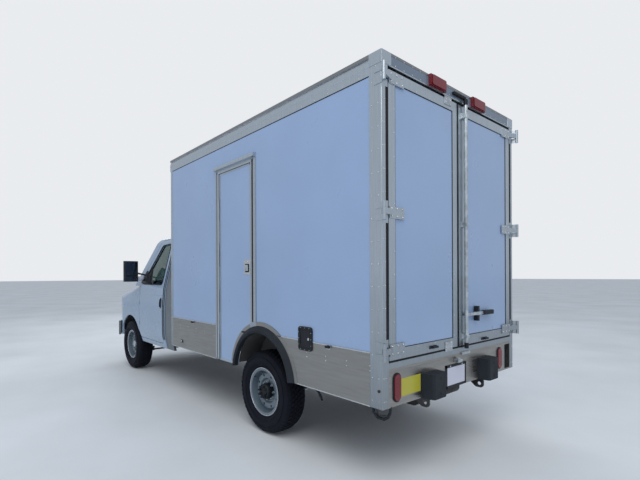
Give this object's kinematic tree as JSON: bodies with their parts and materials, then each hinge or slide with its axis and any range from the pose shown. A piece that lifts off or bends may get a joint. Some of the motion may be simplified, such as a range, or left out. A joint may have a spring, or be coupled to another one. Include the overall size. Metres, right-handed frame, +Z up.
{
  "type": "box truck",
  "caption": "Light box truck: two-seat van cab on a ladder chassis with a panel-walled cargo box, side door, double rear doors, steered front and driven rear wheels.",
  "frame": {"origin": "on the ground, under the middle of the overall box", "axes": "+X forward, +Y to the driver's (left) side, +Z up"},
  "size_m": [5.8611, 2.54, 2.9499],
  "materials": {
    "body_paint": "gloss blue-white paint",
    "box_paint": "gloss pale blue-white panel",
    "surround_paint": "grey paint",
    "frame_aluminium": "mill aluminium",
    "skirt_aluminium": "dull aluminium sheet",
    "stainless": "brushed stainless",
    "floor_paint": "worn grey paint",
    "chassis_black": "satin black paint",
    "axle_iron": "cast iron, lightly rusted",
    "engine_grey": "cast surfaces",
    "tank_plastic": "black moulded plastic",
    "exhaust_steel": "aluminised steel",
    "glazing": "tinted glass",
    "tyre_rubber": "matt rubber",
    "wheel_paint": "silver-grey paint",
    "black_plastic": "black grained plastic",
    "black_rubber": "black rubber",
    "seat_cloth": "grey woven cloth",
    "dash_plastic": "grey grained plastic",
    "bumper_paint": "grey paint",
    "clear_lens": "clear lens",
    "red_lens": "red lens",
    "zinc_steel": "zinc-plated steel"
  },
  "bodies": {
    "chassis": {"box_floor": "floor_paint", "box_frame": "frame_aluminium", "box_panels": "box_paint", "cab_floor": "floor_paint", "cab_shell": "body_paint", "cab_surround": "surround_paint", "dashboard": "dash_plastic", "dock_bumpers": "black_rubber", "engine_block": "engine_grey", "exhaust": "exhaust_steel", "floor_sills": "chassis_black", "frame_crossmembers": "chassis_black", "frame_rails": "chassis_black", "front_axle": "chassis_black", "front_bumper": "bumper_paint", "front_fenders": "body_paint", "fuel_filler": "black_plastic", "fuel_tank": "tank_plastic", "grille": "black_plastic", "head_lamps": "clear_lens", "lower_skirts": "skirt_aluminium", "rear_axle": "axle_iron", "rear_fascia": "stainless", "rear_flares": "black_rubber", "rear_lamps": "red_lens", "rear_springs": "chassis_black", "seats": "seat_cloth", "wheel_liners": "black_plastic", "windscreen": "glazing"},
    "left_knuckle": {"knuckle_left": "chassis_black"},
    "right_knuckle": {"knuckle_right": "chassis_black"},
    "steering_link": {"tie_rod": "chassis_black"},
    "driver_steering_wheel": {"steering_wheel": "dash_plastic"},
    "hood_panel": {"hood": "body_paint"},
    "left_cab_door": {"cab_door_left": "body_paint", "cab_door_glass_left": "glazing", "mirror_left": "black_plastic"},
    "right_cab_door": {"cab_door_right": "body_paint", "cab_door_glass_right": "glazing", "mirror_right": "black_plastic"},
    "cargo_side_door": {"side_door": "box_paint", "side_door_flare": "black_rubber"},
    "left_rear_door": {"rear_door_left": "box_paint", "rear_door_frame_left": "frame_aluminium"},
    "right_rear_door": {"rear_door_right": "box_paint", "rear_door_frame_right": "frame_aluminium", "lock_rod": "zinc_steel"},
    "front_left_road_wheel": {"wheel_front_left": "wheel_paint", "tyre_front_left": "tyre_rubber"},
    "front_right_road_wheel": {"wheel_front_right": "wheel_paint", "tyre_front_right": "tyre_rubber"},
    "rear_left_road_wheel": {"wheel_rear_left": "wheel_paint", "tyre_rear_left": "tyre_rubber"},
    "rear_right_road_wheel": {"wheel_rear_right": "wheel_paint", "tyre_rear_right": "tyre_rubber"}
  },
  "joints": [
    {"name": "steer_left", "type": "hinge", "parent": "chassis", "child": "left_knuckle", "pos_m": [2.06745, 0.722, 0.378], "axis": [0, 0, 1], "range_deg": [-33, 33]},
    {"name": "steer_right", "type": "hinge", "parent": "chassis", "child": "right_knuckle", "pos_m": [2.06745, -0.722, 0.378], "axis": [0, 0, 1], "range_deg": [-33, 33]},
    {"name": "tie_rod_slide", "type": "slide", "parent": "chassis", "child": "steering_link", "axis": [0, 1, 0], "range_m": [-0.0822, 0.0822]},
    {"name": "steering_wheel_turn", "type": "hinge", "parent": "chassis", "child": "driver_steering_wheel", "pos_m": [1.13745, 0.495, 1.212], "axis": [-0.9353, 0, 0.3539], "range_deg": [-530, 530]},
    {"name": "roll_front_left", "type": "hinge", "parent": "left_knuckle", "child": "front_left_road_wheel", "pos_m": [2.06745, 0.8815, 0.378], "axis": [0, 1, 0], "continuous": true},
    {"name": "roll_front_right", "type": "hinge", "parent": "right_knuckle", "child": "front_right_road_wheel", "pos_m": [2.06745, -0.8815, 0.378], "axis": [0, 1, 0], "continuous": true},
    {"name": "roll_rear_left", "type": "hinge", "parent": "chassis", "child": "rear_left_road_wheel", "pos_m": [-1.43755, 0.851, 0.378], "axis": [0, 1, 0], "continuous": true},
    {"name": "roll_rear_right", "type": "hinge", "parent": "chassis", "child": "rear_right_road_wheel", "pos_m": [-1.43755, -0.851, 0.378], "axis": [0, 1, 0], "continuous": true},
    {"name": "hood_hinge", "type": "hinge", "parent": "chassis", "child": "hood_panel", "pos_m": [1.96345, 0, 1.281], "axis": [0, -1, 0], "range_deg": [0, 55]},
    {"name": "cab_door_left_hinge", "type": "hinge", "parent": "chassis", "child": "left_cab_door", "pos_m": [1.65945, 0.994, 0.91], "axis": [0, 0, -1], "range_deg": [0, 70]},
    {"name": "cab_door_right_hinge", "type": "hinge", "parent": "chassis", "child": "right_cab_door", "pos_m": [1.65945, -0.994, 0.91], "axis": [0, 0, 1], "range_deg": [0, 70]},
    {"name": "side_door_hinge", "type": "hinge", "parent": "chassis", "child": "cargo_side_door", "pos_m": [-0.73705, 1.013, 1.5], "axis": [0, 0, -1], "range_deg": [0, 170]},
    {"name": "rear_door_left_hinge", "type": "hinge", "parent": "chassis", "child": "left_rear_door", "pos_m": [-2.87455, 1.024, 1.855], "axis": [0, 0, -1], "range_deg": [0, 270]},
    {"name": "rear_door_right_hinge", "type": "hinge", "parent": "chassis", "child": "right_rear_door", "pos_m": [-2.87455, -1.024, 1.855], "axis": [0, 0, 1], "range_deg": [0, 270]}
  ],
  "couplings": [
    {"joint": "steer_right", "follows": "steer_left", "ratio": 1},
    {"joint": "tie_rod_slide", "follows": "steer_left", "m_per_rad": -0.14184},
    {"joint": "steering_wheel_turn", "follows": "steer_left", "ratio": 16}
  ]
}
